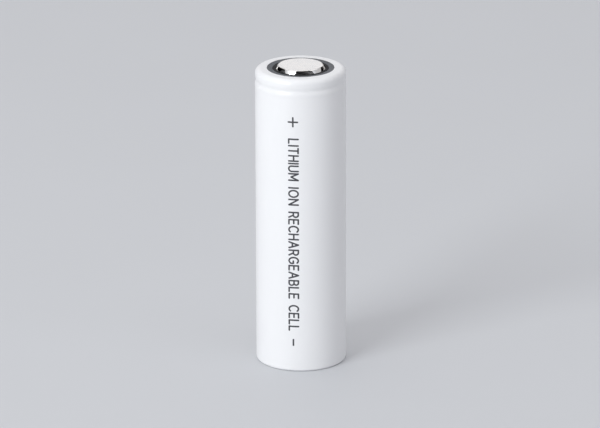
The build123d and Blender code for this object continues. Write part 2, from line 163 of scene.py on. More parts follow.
class SleeveSettings(bpy.types.PropertyGroup):
    """Sizes and colours of the shrink sleeve."""

    film: length("Film", "Thickness of the film", 0.0001)
    lip_radius: length("Lip radius", "Radius of the opening at the positive end", 0.00783)
    foot_radius: length("Foot radius", "Radius of the opening at the negative end", 0.0084)
    shoulder_round: length("Shoulder round", "Round at the positive end", 0.00125)
    foot_round: length("Foot round", "Round at the negative end", 0.0006)
    bead_below_gasket: length("Bead below gasket", "Middle of the bead below the gasket", 0.0009)
    dip_depth: length("Dip depth", "How far the film sags into the bead", 0.00015)
    dip_reach: length("Dip reach", "Half height of that sag", 0.00055)
    bulge_height: length("Bulge height", "How far the film stands out under the bead", 0.00004)
    bulge_below_bead: length("Bulge below bead", "Middle of that bulge below the bead", 0.00115)
    bulge_reach: length("Bulge reach", "Half height of the bulge", 0.0005)
    pucker: length("Pucker", "Height of the folds that shrinking leaves on the shoulder", 0.00002)
    crease: length("Crease", "Height of the soft creases on the shoulder at the front right", 0.000012)
    crease_spacing: length("Crease spacing", "Distance from one such crease to the next", 0.00062)
    crease_angle: angle("Crease angle", "Direction of the middle of the creases", -38.0)
    edge_wander: length("Edge wander", "How far the cut edge of the lip wanders", 0.00005)
    around: count("Steps around", "Steps round the wall", 320)
    film_colour: colour("Film colour", "Colour of the white film", (0.875, 0.875, 0.885))
    film_roughness: number("Film roughness", "Roughness of the film", 0.3)


class CapSettings(bpy.types.PropertyGroup):
    """Sizes and colours of the positive cap, its washer and its seal."""

    sheet: length("Sheet", "Thickness of the cap", 0.00035)
    top_radius: length("Top radius", "Radius where the wall meets the flat top", 0.0052)
    base_radius: length("Base radius", "Radius where the wall meets the flange", 0.0059)
    top_round: length("Top round", "Round between wall and top", 0.0006)
    base_round: length("Base round", "Round between wall and flange", 0.0002)
    dish: length("Dish", "How far the top is dished", 0.000015)
    vents: count("Vents", "Number of vent windows", 5)
    first_vent: angle("First vent", "Direction of the first vent window", 279.4)
    vent_foot_width: length("Vent foot width", "Width of a window at its foot", 0.0048)
    vent_head_width: length("Vent head width", "Width of a window at its head", 0.0034)
    vent_head_drop: length("Vent head drop", "Head of a window below the top", 0.00008)
    vent_height: length("Vent height", "Height of a window", 0.0009)
    vent_corner: length("Vent corner", "Round in a window's corners", 0.00012)
    washer_bore: length("Washer bore", "Radius of the washer's bore", 0.0065)
    washer_edge: length("Washer edge", "Round on the washer's punched edges", 0.00004)
    plate_colour: colour("Plate colour", "Colour of the bright plate", (0.93, 0.92, 0.91))
    washer_colour: colour("Washer colour", "Colour of the fibre washer", (0.1, 0.105, 0.115))
    # Near black: partly the seal's own black plastic, partly painted shade of the deep ring between the
    # cap and the washer
    seal_and_shade_colour: colour("Seal colour", "Colour of the black seal", (0.012, 0.012, 0.014))


class PrintSettings(bpy.types.PropertyGroup):
    """The line of print down the wall."""

    words: StringProperty(
        name="Words", description="Generic words of the line", default="LITHIUM ION RECHARGEABLE CELL"
    )
    letter_height: length("Letter height", "Height of a capital, between stroke middles", 0.00217)
    stroke: length("Stroke", "Width of a stroke", 0.00038)
    ink: length("Ink", "Thickness of the ink", 0.000008)
    baseline: angle("Baseline", "Direction of the baseline, from the front towards +X", -15.2)
    first_level: length("First level", "Height at which the line starts", 0.0567)
    last_level: length("Last level", "Height at which the line ends", 0.0102)
    plus_level: length("Plus level", "Height of the plus sign's middle", 0.0608)
    plus_size: length("Plus size", "Length of the plus sign's strokes", 0.0021)
    minus_level: length("Minus level", "Height of the minus sign's middle", 0.0072)
    minus_size: length("Minus size", "Length of the minus sign's stroke", 0.0014)
    sign_angle: angle("Sign angle", "Direction of both signs, from the front towards +X", -9.9)
    ink_colour: colour("Ink colour", "Colour of the ink", (0.045, 0.045, 0.052))


class StageSettings(bpy.types.PropertyGroup):
    """Camera, lights and floor."""

    distance: length("Distance", "Camera to the middle of the cell", 1.0715)
    elevation: angle("Elevation", "Camera above the horizon", 18.65)
    roll: angle("Roll", "Turn of the camera about its own line of sight", -0.13)
    lens: number("Lens", "Focal length in millimetres on a 36 mm sensor", 276.7)
    shift_x: number("Shift across", "Camera shift across the picture", -0.0015)
    shift_y: number("Shift up", "Camera shift up the picture", -0.0015)
    key_power: number("Key power", "Watts of the large soft light at the front left", 13.0)
    fill_power: number("Fill power", "Watts of the soft light at the right", 0.7)
    top_power: number("Top power", "Watts of the overhead soft light", 5.0)
    back_power: number("Back power", "Watts of the soft light behind", 0.75)
    sky: number("Sky", "Strength of the even light from all round", 0.53)
    floor_colour: colour("Floor colour", "Colour of the pale floor", (0.62, 0.63, 0.65))


# Shapes


def arc(centre, radius, start, end, steps):
    """Points of a circle arc: centre plus radius times (cosine, sine) of evenly spaced degrees."""
    turn = np.radians(np.linspace(start, end, steps))
    return np.asarray(centre) + radius * np.column_stack((np.cos(turn), np.sin(turn)))


def run(start, end, steps):
    """Evenly spaced points of a straight run between two points."""
    share = np.linspace(0.0, 1.0, steps)[:, None]
    return (1.0 - share) * np.asarray(start) + share * np.asarray(end)


def joined(*paths):
    """Paths put end to end, with repeated points dropped."""
    points = np.vstack(paths)
    step = np.linalg.norm(np.diff(points, axis=0), axis=1)
    return points[np.concatenate(([True], step > 1e-9))]


def rounded(points, radii, steps):
    """A path of straight runs with an arc at each inner corner, tangent to both of its runs.

    The arc starts radius times the tangent of half the turn before the corner.
    """
    points = np.asarray(points, float)
    pieces = [points[:1]]
    for before, corner, after, radius in zip(points, points[1:], points[2:], radii):
        come = (corner - before) / np.linalg.norm(corner - before)
        go = (after - corner) / np.linalg.norm(after - corner)
        turn = np.arctan2(come[0] * go[1] - come[1] * go[0], come @ go)
        reach = radius * np.tan(abs(turn) / 2)
        side = np.sign(turn) * np.array([-come[1], come[0]])
        centre = corner - reach * come + radius * side
        sweep = np.linspace(0.0, turn, steps)[:, None]
        pieces.append(centre - radius * (side * np.cos(sweep) - np.sign(turn) * come * np.sin(sweep)))
    pieces.append(points[-1:])
    return joined(*pieces)


def left_normals(path):
    """Unit normals to the left of a path's direction of travel, from central differences."""
    along = np.gradient(path, axis=0)
    across = np.column_stack((-along[:, 1], along[:, 0]))
    return across / np.linalg.norm(across, axis=1)[:, None]


def resampled(path, stations):
    """Points of a path at given distances along it, by straight interpolation."""
    reach = path_lengths(path)
    return np.column_stack([np.interp(stations, reach, path[:, axis]) for axis in (0, 1)])


def path_lengths(path):
    """Distance of each of a path's points along it."""
    step = np.linalg.norm(np.diff(path, axis=0), axis=1)
    return np.concatenate(([0.0], np.cumsum(step)))


def spun(radius, level, turn):
    """Points (radius cos turn, radius sin turn, level), from arrays that broadcast together."""
    radius, level, turn = np.broadcast_arrays(radius, level, turn)
    return np.stack((radius * np.cos(turn), radius * np.sin(turn), level), axis=-1)


def grid_faces(rows, columns, close_rows=False, close_columns=False):
    """Corner indices of the quads between neighbours of a grid, wrapped where it closes."""
    row = np.arange(rows if close_rows else rows - 1)[:, None]
    column = np.arange(columns if close_columns else columns - 1)[None, :]
    next_row = (row + 1) % rows
    next_column = (column + 1) % columns
    corners = (
        row * columns + column,
        next_row * columns + column,
        next_row * columns + next_column,
        row * columns + next_column,
    )
    return np.stack(np.broadcast_arrays(*corners), axis=-1).reshape(-1, 4)


def make_piece(name, points, faces, sharp_angle=50.0):
    """A mesh object from points and quads, with doubles merged, faces outwards and smooth shading."""
    mesh = bpy.data.meshes.new(name)
    mesh.from_pydata(np.asarray(points).reshape(-1, 3), [], faces.tolist())
    work = bmesh.new()
    work.from_mesh(mesh)
    bmesh.ops.remove_doubles(work, verts=work.verts, dist=MERGE_DISTANCE)
    bmesh.ops.dissolve_degenerate(work, edges=work.edges, dist=SHORTEST_EDGE)
    bmesh.ops.recalc_face_normals(work, faces=work.faces)
    work.to_mesh(mesh)
    work.free()
    mesh.polygons.foreach_set("use_smooth", np.ones(len(mesh.polygons), bool))
    mesh.set_sharp_from_angle(angle=radians(sharp_angle))
    piece = bpy.data.objects.new(name, mesh)
    bpy.context.scene.collection.objects.link(piece)
    return piece


def mount(piece, material, replaced=()):
    """Gives a piece its finish and its body, and hides the nodes it stands for."""
    piece.data.materials.append(material)
    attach(piece, BODY)
    if replaced:
        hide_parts(*replaced)


def waves(turn, counts, seed):
    """A sum of cosines round the axis, one for each count, with seeded phases and falling heights."""
    phase = np.random.default_rng(seed).uniform(0, 2 * pi, len(counts))
    height = 1.0 / np.sqrt(1.0 + np.arange(len(counts)))
    total = sum(h * np.cos(c * turn + p) for c, p, h in zip(counts, phase, height))
    return total / height.sum()


def film_path(settings):
    """Section of the film's outside, from the lip's edge over the shoulder, down and under the foot.

    The wall's radius loses a bell curve of the level at the bead, and gains a lower one below it.
    """
    wall, lip = WALL_RADIUS, LIP_LEVEL
    shoulder, foot = settings.shoulder_round, settings.foot_round
    bead = GASKET_LOW.z - settings.bead_below_gasket
    plain_from = bead - 3 * settings.bulge_below_bead
    on_lip, round_shoulder, past_bead, down_wall, round_foot, on_fold = FILM_STEPS
    path = joined(
        run((settings.lip_radius, lip), (wall - shoulder, lip), on_lip),
        arc((wall - shoulder, lip - shoulder), shoulder, 90, 0, round_shoulder),
        run((wall, lip - shoulder), (wall, plain_from), past_bead),
        run((wall, plain_from), (wall, foot), down_wall),
        arc((wall - foot, foot), foot, 0, -90, round_foot),
        run((wall - foot, 0), (settings.foot_radius, 0), on_fold),
    )
    on_wall = path[:, 1] > foot
    dip = settings.dip_depth * np.exp(-(((path[:, 1] - bead) / settings.dip_reach) ** 2))
    bulge_level = bead - settings.bulge_below_bead
    bulge = settings.bulge_height * np.exp(-(((path[:, 1] - bulge_level) / settings.bulge_reach) ** 2))
    path[:, 0] += np.where(on_wall, bulge - dip, 0.0)
    return path


def build_sleeve(settings):
    """The film: its outside and its inside one thickness apart, joined by round cut edges.

    On the lip the cut edge wanders in and out by a sum of cosines round the axis, fading along the
    film. On the shoulder the film puckers along its normal by a finer sum of cosines, and round
    one direction by a cosine of the distance along the film, faded out by two bell curves.
    """
    outside = film_path(settings)
    normals = left_normals(outside)
    inside = (outside - settings.film * normals)[::-1]
    half = settings.film / 2
    foot_edge = arc((outside[-1] + inside[0]) / 2, half, -90, -270, EDGE_STEPS)[1:-1]
    lip_edge = arc((outside[0] + inside[-1]) / 2, half, 270, 90, EDGE_STEPS)[1:-1]
    loop = np.vstack((outside, foot_edge, inside, lip_edge))
    loop_normals = np.vstack((normals, 0 * foot_edge, normals[::-1], 0 * lip_edge))
    turn = np.linspace(0, 2 * pi, settings.around, endpoint=False)[None, :]
    radius = loop[:, :1]
    level = loop[:, 1:]
    on_top = radius < WALL_RADIUS - settings.shoulder_round
    near_lip = on_top & (level > LIP_LEVEL - LIP_BAND * settings.film)
    fade = np.where(near_lip, np.exp(-(radius - settings.lip_radius) / (LIP_FADE * settings.film)), 0.0)
    wander = settings.edge_wander * fade * waves(turn, *WANDER_WAVES)
    lift = LIFT_SHARE * settings.edge_wander * fade * (1 + waves(turn, *LIFT_WAVES))
    shoulder_level = LIP_LEVEL - settings.shoulder_round / 2
    spread = PUCKER_SPREAD * settings.shoulder_round
    on_shoulder = np.exp(-(((level - shoulder_level) / spread) ** 2))
    on_shoulder = on_shoulder * (radius > WALL_RADIUS - PUCKER_REACH * settings.shoulder_round)
    folds = settings.pucker * on_shoulder * waves(turn, *PUCKER_WAVES)
    along = (LIP_LEVEL - level) - (WALL_RADIUS - radius)
    off_middle = np.angle(np.exp(1j * (turn - settings.crease_angle)))
    fade_out = np.exp(-((off_middle / CREASE_SPREAD) ** 2) - (along / settings.shoulder_round) ** 2)
    folds = folds + settings.crease * fade_out * np.cos(
        2 * pi * along / settings.crease_spacing
        + CREASE_SLANT * off_middle
        + np.sin(CREASE_WOBBLE * off_middle)
    )
    radius = radius + wander + folds * loop_normals[:, :1]
    level = level + lift + folds * loop_normals[:, 1:]
    points = spun(radius, level, turn)
    return make_piece("sleeve_film", points, grid_faces(*points.shape[:2], True, True))


def build_washer(settings):
    """The washer: a rectangle with small rounds at its punched edges, turned about the axis."""
    inner, outer = settings.washer_bore, WASHER_HIGH.x
    low, high = WASHER_LOW.z, WASHER_HIGH.z
    edge = settings.washer_edge
    middle = (inner + outer) / 2
    section = rounded(
        [(middle, low), (outer, low), (outer, high), (inner, high), (inner, low), (middle, low)],
        [edge] * 4,
        EDGE_STEPS,
    )[:-1]
    turn = np.linspace(0, 2 * pi, WASHER_AROUND, endpoint=False)[None, :]
    points = spun(section[:, :1], section[:, 1:], turn)
    return make_piece("washer_ring", points, grid_faces(*points.shape[:2], True, True))


def window_half_width(level, foot, head, settings):
    """Half the width of a vent window at a level: straight sloping sides, drawn in at the corners.

    Within a corner's round of either end it loses what a quarter circle takes off.
    """
    share = np.clip((level - foot) / (head - foot), 0, 1)
    half = ((1 - share) * settings.vent_foot_width + share * settings.vent_head_width) / 2
    corner = settings.vent_corner
    to_end = np.clip(np.minimum(level - foot, head - level), 0, corner)
    return half - (corner - np.sqrt(corner**2 - (corner - to_end) ** 2))


def build_cap(settings):
    """The cap: one pressed section carried round the axis, with a window left out at each vent.

    Rows follow the section from the flange's rim to the pole. Columns fan out round each vent, so
    that two of them always run along the sloping sides of its window. The inner face is the outer
    one moved by the sheet's thickness, and walls join the two round each window and at the rim.
    """
    top = CAP_HIGH.z
    flange = CAP_LOW.z + settings.sheet
    section = rounded(
        [(CAP_HIGH.x, flange), (settings.base_radius, flange), (settings.top_radius, top), (0, top)],
        [settings.base_round, settings.top_round],
        ROUND_STEPS,
    )
    section = resampled(section, np.linspace(0, path_lengths(section)[-1], SECTION_POINTS))
    reach = path_lengths(section)
    head = top - settings.vent_head_drop
    foot = head - settings.vent_height
    foot_at, head_at = np.interp([foot, head], section[:, 1], reach)
    below_windows, beside_windows, round_top, on_top = CAP_ROWS
    stations = np.concatenate(
        (
            np.linspace(0, foot_at, below_windows, endpoint=False),
            np.linspace(foot_at, head_at, beside_windows, endpoint=False),
            np.linspace(head_at, head_at + settings.top_round, round_top, endpoint=False),
            np.linspace(head_at + settings.top_round, reach[-1], on_top),
        )
    )
    outer = resampled(section, stations)
    inner = outer + settings.sheet * left_normals(outer)
    inner[-1, 0] = 0.0
    outer[:, 1] -= settings.dish * np.clip(1 - (outer[:, 0] / settings.top_radius) ** 2, 0, None)
    first_row, last_row = below_windows, below_windows + beside_windows
    level = np.clip(outer[:, 1], foot, head)
    radius = np.interp(level, section[:, 1], section[:, 0])
    half_angle = np.arcsin(window_half_width(level, foot, head, settings) / radius)[:, None]
    half_share = pi / settings.vents
    from_leg = np.linspace(0, 1, LEG_COLUMNS, endpoint=False)[None, :]
    across = np.linspace(-1, 1, WINDOW_COLUMNS + 1)[None, :]
    to_leg = np.linspace(0, 1, LEG_COLUMNS)[None, 1:-1]
    fan = np.hstack(
        (
            -half_share + from_leg * (half_share - half_angle),
            across * half_angle,
            half_angle + to_leg * (half_share - half_angle),
        )
    )
    columns = fan.shape[1]
    vent_angles = settings.first_vent + 2 * half_share * np.arange(settings.vents)
    turn = (vent_angles[None, :, None] + fan[:, None, :]).reshape(len(outer), -1)
    grids = [spun(face[:, :1], face[:, 1:], turn) for face in (outer, inner)]
    rows, around = turn.shape
    sheet_faces = grid_faces(rows, around, False, True).reshape(rows - 1, around, 4)
    column = np.arange(around) % columns
    open_columns = (column >= LEG_COLUMNS) & (column < LEG_COLUMNS + WINDOW_COLUMNS)
    kept = np.ones((rows - 1, around), bool)
    kept[first_row:last_row, open_columns] = False
    outside = sheet_faces[kept]
    offset = rows * around
    walls = [edge_wall(np.arange(around), offset, True)]
    for vent in range(settings.vents):
        left = vent * columns + LEG_COLUMNS
        right = left + WINDOW_COLUMNS
        across_row = np.arange(left, right + 1)
        down_column = np.arange(first_row, last_row + 1) * around
        walls.append(edge_wall(first_row * around + across_row, offset))
        walls.append(edge_wall(last_row * around + across_row, offset))
        walls.append(edge_wall(down_column + left, offset))
        walls.append(edge_wall(down_column + right, offset))
    faces = np.vstack([outside, outside + offset] + walls)
    points = np.vstack([grid.reshape(-1, 3) for grid in grids])
    return make_piece("cap_plate", points, faces, 40.0)


def edge_wall(edge, offset, closed=False):
    """Quads from a line of outer points to the matching inner points, offset places further on."""
    ahead = np.roll(edge, -1)
    if not closed:
        edge, ahead = edge[:-1], ahead[:-1]
    return np.stack((edge, ahead, ahead + offset, edge + offset), axis=-1)


# Print


def line(*corners):
    """Straight strokes from corner to corner, each its own pair of points."""
    return [np.array(pair, float) for pair in zip(corners, corners[1:])]


def bow(across, up, half_width, half_height, start, end):
    """One stroke along an ellipse, between two angles in degrees."""
    turn = np.radians(np.linspace(start, end, BOW_POINTS))
    return [np.column_stack((across + half_width * np.cos(turn), up + half_height * np.sin(turn)))]


# Each sign's width and strokes, on a capital one unit high
SIGNS = {
    " ": (0.3, []),
    "A": (0.66, line((0, 0), (0.33, 1), (0.66, 0)) + line((0.12, 0.36), (0.54, 0.36))),
    "B": (
        0.52,
        line((0.26, 1), (0, 1), (0, 0), (0.27, 0))
        + line((0, 0.53), (0.27, 0.53))
        + bow(0.26, 0.765, 0.22, 0.235, 90, -90)
        + bow(0.27, 0.265, 0.25, 0.265, 90, -90),
    ),
    "C": (0.62, bow(0.36, 0.5, 0.36, 0.5, 48, 312)),
    "E": (0.48, line((0.48, 1), (0, 1), (0, 0), (0.48, 0)) + line((0, 0.52), (0.42, 0.52))),
    "G": (0.66, bow(0.36, 0.5, 0.36, 0.5, 48, 322) + line((0.4, 0.46), (0.66, 0.46), (0.66, 0.2))),
    "H": (0.58, line((0, 0), (0, 1)) + line((0.58, 0), (0.58, 1)) + line((0, 0.52), (0.58, 0.52))),
    "I": (0.02, line((0.01, 0), (0.01, 1))),
    "L": (0.44, line((0, 1), (0, 0), (0.44, 0))),
    "M": (0.72, line((0, 0), (0, 1), (0.36, 0.25), (0.72, 1), (0.72, 0))),
    "N": (0.6, line((0, 0), (0, 1), (0.6, 0), (0.6, 1))),
    "O": (0.74, bow(0.37, 0.5, 0.37, 0.5, 0, 360)),
    "R": (
        0.54,
        line((0, 0), (0, 1), (0.28, 1))
        + line((0, 0.47), (0.28, 0.47))
        + bow(0.28, 0.735, 0.24, 0.265, 90, -90)
        + line((0.3, 0.47), (0.54, 0)),
    ),
    "T": (0.56, line((0, 1), (0.56, 1)) + line((0.28, 1), (0.28, 0))),
    "U": (
        0.58,
        line((0, 1), (0, 0.29)) + bow(0.29, 0.29, 0.29, 0.29, 180, 360) + line((0.58, 0.29), (0.58, 1)),
    ),
}


def stroke_ribbon(path, settings):
    """One inked stroke: a flat bar carried along a path on the wall, with round ends.

    The path is given as (distance round the wall, level). The bar's half width is the stroke's,
    and over each end it falls as the cosine while the middle moves on as the sine.
    """
    reach = path_lengths(path)
    steps = max(2, int(reach[-1] / STROKE_SPACING) + 1)
    middle = resampled(path, np.linspace(0, reach[-1], steps))
    normals = left_normals(middle)
    half = settings.stroke / 2
    widths = np.full(steps, half)
    if np.allclose(path[0], path[-1]):
        normals[0] = normals[-1] = (normals[0] + normals[-1]) / 2
    else:
        along = np.column_stack((normals[:, 1], -normals[:, 0]))
        end = np.radians(np.linspace(0, 90, END_STEPS + 1))[1:, None]
        start_cap = (middle[0] - half * np.sin(end) * along[0])[::-1]
        end_cap = middle[-1] + half * np.sin(end) * along[-1]
        middle = np.vstack((start_cap, middle, end_cap))
        taper = half * np.cos(end[:, 0])
        widths = np.concatenate((taper[::-1], widths, taper))
        first, last = np.tile(normals[0], (END_STEPS, 1)), np.tile(normals[-1], (END_STEPS, 1))
        normals = np.vstack((first, normals, last))
    left = middle + widths[:, None] * normals
    right = middle - widths[:, None] * normals
    top, bottom = WALL_RADIUS + settings.ink, WALL_RADIUS - settings.ink
    corners = [(left, top), (right, top), (right, bottom), (left, bottom)]
    return np.stack([on_wall(flat, radius) for flat, radius in corners], axis=1)


def on_wall(flat, radius):
    """Points given as (distance round the wall from the front, level), put on a cylinder."""
    turn = flat[:, 0] / WALL_RADIUS
    return np.column_stack((radius * np.sin(turn), -radius * np.cos(turn), flat[:, 1]))


def sign_strokes(word, tracking):
    """All strokes of a word on a flat strip one capital high, and the strip's length."""
    strokes = []
    start = 0.0
    for sign in word:
        width, paths = SIGNS[sign]
        strokes += [path + (start, 0.0) for path in paths]
        start += width + tracking
    return strokes, start - tracking


def build_print(settings):
    """The line of words down the wall, and a plus and a minus sign above and below it.

    Words run down the wall with their tops towards +X: a stroke's place along the word becomes
    the distance below the first level, and its height becomes the distance round the wall.
    """
    size = settings.letter_height
    room = (settings.first_level - settings.last_level) / size
    _, tight = sign_strokes(settings.words, 0.0)
    strokes, _ = sign_strokes(settings.words, (room - tight) / (len(settings.words) - 1))
    base = settings.baseline * WALL_RADIUS
    flat = [
        np.column_stack((base + size * path[:, 1], settings.first_level - size * path[:, 0]))
        for path in strokes
    ]
    sign_at = settings.sign_angle * WALL_RADIUS
    plus, minus = settings.plus_size / 2, settings.minus_size / 2
    flat += line((sign_at - plus, settings.plus_level), (sign_at + plus, settings.plus_level))
    flat += line((sign_at, settings.plus_level - plus), (sign_at, settings.plus_level + plus))
    flat += line((sign_at, settings.minus_level - minus), (sign_at, settings.minus_level + minus))
    points, faces, used = [], [], 0
    for path in flat:
        grid = stroke_ribbon(path, settings)
        points.append(grid.reshape(-1, 3))
        faces.append(grid_faces(len(grid), 4, False, True) + used)
        used += len(points[-1])
    return make_piece("print_marks", np.vstack(points), np.vstack(faces))


# Finishes


class Finish:
    """A material under construction: its nodes, and short ways to add and join them."""

    def __init__(self, name, metallic=0.0, roughness=0.5):
        self.material = bpy.data.materials.new(name)
        self.material.use_nodes = True
        self.nodes = self.material.node_tree.nodes
        self.links = self.material.node_tree.links
        self.shader = self.nodes["Principled BSDF"]
        self.shader.inputs["Metallic"].default_value = metallic
        self.shader.inputs["Roughness"].default_value = roughness
        self.place = self.add("ShaderNodeTexCoord").outputs["Object"]

    def add(self, kind, **values):
        """A new node, with the named attributes set."""
        node = self.nodes.new(kind)
        for key, value in values.items():
            setattr(node, key, value)
        return node

    def join(self, source, target):
        """A link from an output to an input."""
        self.links.new(source, target)

    def stretched(self, across, along):
        """Object coordinates, scaled across and along the axis so that a noise unit is one grain."""
        mapping = self.add("ShaderNodeMapping")
        mapping.inputs["Scale"].default_value = (1 / across, 1 / across, 1 / along)
        self.join(self.place, mapping.inputs["Vector"])
        return mapping.outputs["Vector"]

    def radius(self):
        """Distance from the axis."""
        flat = self.add("ShaderNodeVectorMath", operation="MULTIPLY")
        flat.inputs[1].default_value = (1, 1, 0)
        self.join(self.place, flat.inputs[0])
        size = self.add("ShaderNodeVectorMath", operation="LENGTH")
        self.join(flat.outputs["Vector"], size.inputs[0])
        return size.outputs["Value"]

    def grain(self, across, along, detail=4.0, rough=0.55):
        """Noise whose grain has the given size across and along the axis."""
        noise = self.add("ShaderNodeTexNoise")
        noise.inputs["Scale"].default_value = 1.0
        noise.inputs["Detail"].default_value = detail
        noise.inputs["Roughness"].default_value = rough
        self.join(self.stretched(across, along), noise.inputs["Vector"])
        return noise.outputs["Fac"]

    def rings(self, spacing, detail=3.0):
        """Noise in the distance from the axis alone, as a turned or drawn face shows."""
        noise = self.add("ShaderNodeTexNoise", noise_dimensions="1D")
        noise.inputs["Scale"].default_value = 1 / spacing
        noise.inputs["Detail"].default_value = detail
        self.join(self.radius(), noise.inputs["W"])
        return noise.outputs["Fac"]

    def between(self, factor, low, high, start=0.35, end=0.65):
        """A value that goes from low to high as a noise goes from start to end."""
        scale = self.add("ShaderNodeMapRange")
        scale.inputs["From Min"].default_value = start
        scale.inputs["From Max"].default_value = end
        scale.inputs["To Min"].default_value = low
        scale.inputs["To Max"].default_value = high
        self.join(factor, scale.inputs["Value"])
        return scale.outputs["Result"]

    def colours(self, factor, first, second, start=0.35, end=0.65):
        """A colour that goes from first to second as a noise goes from start to end."""
        ramp = self.add("ShaderNodeValToRGB")
        ramp.color_ramp.elements[0].position = start
        ramp.color_ramp.elements[1].position = end
        ramp.color_ramp.elements[0].color = (*first, 1.0)
        ramp.color_ramp.elements[1].color = (*second, 1.0)
        self.join(factor, ramp.inputs["Fac"])
        return ramp.outputs["Color"]

    def use(self, source, name):
        """Joins an output to one of the shader's own inputs."""
        self.join(source, self.shader.inputs[name])

    def bump(self, height, distance, strength=1.0, under=None):
        """Bumps of a given height in metres, on top of other bumps if there are any."""
        node = self.add("ShaderNodeBump")
        node.inputs["Distance"].default_value = distance
        node.inputs["Strength"].default_value = strength
        self.join(height, node.inputs["Height"])
        if under:
            self.join(under, node.inputs["Normal"])
        return node.outputs["Normal"]


def shade(colour_value, factor):
    """A colour made darker or lighter by a factor."""
    return tuple(min(1.0, channel * factor) for channel in colour_value)


def film_finish(settings):
    """White shrink film: faint draw lines along the cell, a slight orange peel, satin gloss."""
    base = tuple(settings.film_colour)
    finish = Finish("white_film", roughness=settings.film_roughness)
    draw = finish.grain(0.002, 0.04, detail=1.0)
    peel = finish.grain(0.0009, 0.0009, detail=1.0)
    cloud = finish.grain(0.008, 0.02, detail=1.0)
    finish.use(finish.colours(cloud, shade(base, 0.985), base, 0.1, 0.9), "Base Color")
    finish.use(
        finish.between(cloud, settings.film_roughness - 0.04, settings.film_roughness + 0.05, 0.1, 0.9),
        "Roughness",
    )
    lines = finish.bump(draw, 0.000001)
    finish.use(finish.bump(peel, 0.0000004, under=lines), "Normal")
    finish.shader.inputs["IOR"].default_value = 1.5
    finish.shader.inputs["Subsurface Weight"].default_value = 0.08
    finish.shader.inputs["Subsurface Radius"].default_value = (0.0006, 0.0006, 0.0007)
    finish.shader.inputs["Subsurface Scale"].default_value = 1.0
    return finish.material


def ink_finish(settings):
    """Dark grey ink with a fine mottle."""
    base = tuple(settings.ink_colour)
    finish = Finish("print_ink", roughness=0.45)
    mottle = finish.grain(0.00012, 0.00012)
    finish.use(finish.colours(mottle, shade(base, 0.75), shade(base, 1.5)), "Base Color")
    finish.use(finish.between(mottle, 0.38, 0.55), "Roughness")
    return finish.material


def plate_finish(settings):
    """Bright nickel plate: soft clouds, faint rings from the press tool and fine handling marks."""
    base = tuple(settings.plate_colour)
    finish = Finish("bright_plate", metallic=1.0, roughness=0.2)
    cloud = finish.grain(0.0016, 0.0016, detail=5.0)
    rings = finish.rings(0.00022)
    marks = finish.grain(0.00009, 0.0009, detail=6.0, rough=0.7)
    warm = (base[0], base[1] * 0.985, base[2] * 0.965)
    finish.use(finish.colours(cloud, warm, base), "Base Color")
    finish.use(finish.between(cloud, 0.15, 0.27), "Roughness")
    pressed = finish.bump(rings, 0.0000012)
    finish.use(finish.bump(marks, 0.0000008, under=pressed), "Normal")
    return finish.material


def fibre_finish(settings):
    """Dark grey pressed fibre: a speckle of lighter and darker fibres, matte, slightly fuzzy."""
    base = tuple(settings.washer_colour)
    finish = Finish("washer_fibre", roughness=0.75)
    speckle = finish.grain(0.00016, 0.00016, detail=5.0, rough=0.7)
    cloud = finish.grain(0.0014, 0.0014)
    finish.use(finish.colours(speckle, shade(base, 0.6), shade(base, 1.7)), "Base Color")
    finish.use(finish.between(cloud, 0.62, 0.85), "Roughness")
    finish.use(finish.bump(speckle, 0.000012), "Normal")
    return finish.material


def moulded_finish(name, base, roughness=0.5):
    """Moulded or sheet plastic: a faint cloud of colour and a fine moulded skin."""
    finish = Finish(name, roughness=roughness)
    cloud = finish.grain(0.0025, 0.0025)
    skin = finish.grain(0.0001, 0.0001, detail=3.0)
    finish.use(finish.colours(cloud, shade(base, 0.88), shade(base, 1.08)), "Base Color")
    finish.use(finish.between(cloud, roughness - 0.06, roughness + 0.06), "Roughness")
    finish.use(finish.bump(skin, 0.000003), "Normal")
    return finish.material


def drawn_finish(name, base, roughness=0.3):
    """Metal drawn or rolled along the axis, with rings on the faces across it."""
    finish = Finish(name, metallic=1.0, roughness=roughness)
    lines = finish.grain(0.00006, 0.004, detail=4.0)
    rings = finish.rings(0.00018)
    cloud = finish.grain(0.004, 0.006)
    finish.use(finish.colours(cloud, shade(base, 0.95), shade(base, 1.03)), "Base Color")
    finish.use(finish.between(lines, roughness - 0.07, roughness + 0.1), "Roughness")
    drawn = finish.bump(lines, 0.0000015)
    finish.use(finish.bump(rings, 0.0000025, under=drawn), "Normal")
    return finish.material


def coat_finish(name, base):
    """A pressed powder coat: fine dark grains with a few that glint."""
    finish = Finish(name, roughness=0.7)
    grains = finish.grain(0.00005, 0.00005, detail=5.0, rough=0.7)
    cloud = finish.grain(0.003, 0.003)
    finish.use(finish.colours(grains, shade(base, 0.6), shade(base, 1.8)), "Base Color")
    finish.use(finish.between(cloud, 0.55, 0.85), "Roughness")
    finish.use(finish.bump(grains, 0.000006), "Normal")
    return finish.material


def slot_colour(slot):
    """The colour that the record gives a material slot."""
    for material in frame["record"]["materials"]:
        if material["slot"] == slot:
            return tuple(material["base_color"][:3])
    raise ValueError(f"the record has no material slot {slot}")


def cover_nodes(material, *slots):
    """Puts a finish on every node that the record gives one of these slots."""
    for part in frame["record"]["subparts"]:
        if part["material_slot"] not in slots:
            continue
        for place in frame["nodes"][part["node"]].material_slots:
            place.material = material


# Operators


class CELL_OT_sleeve(bpy.types.Operator):
    """Build the shrink sleeve that stands for the sleeve node"""

    bl_idname = "cell.sleeve"
    bl_label = "Shrink Sleeve"

    def execute(self, context):
        settings = context.scene.cell_sleeve
        mount(build_sleeve(settings), film_finish(settings), ["sleeve"])
        return {"FINISHED"}


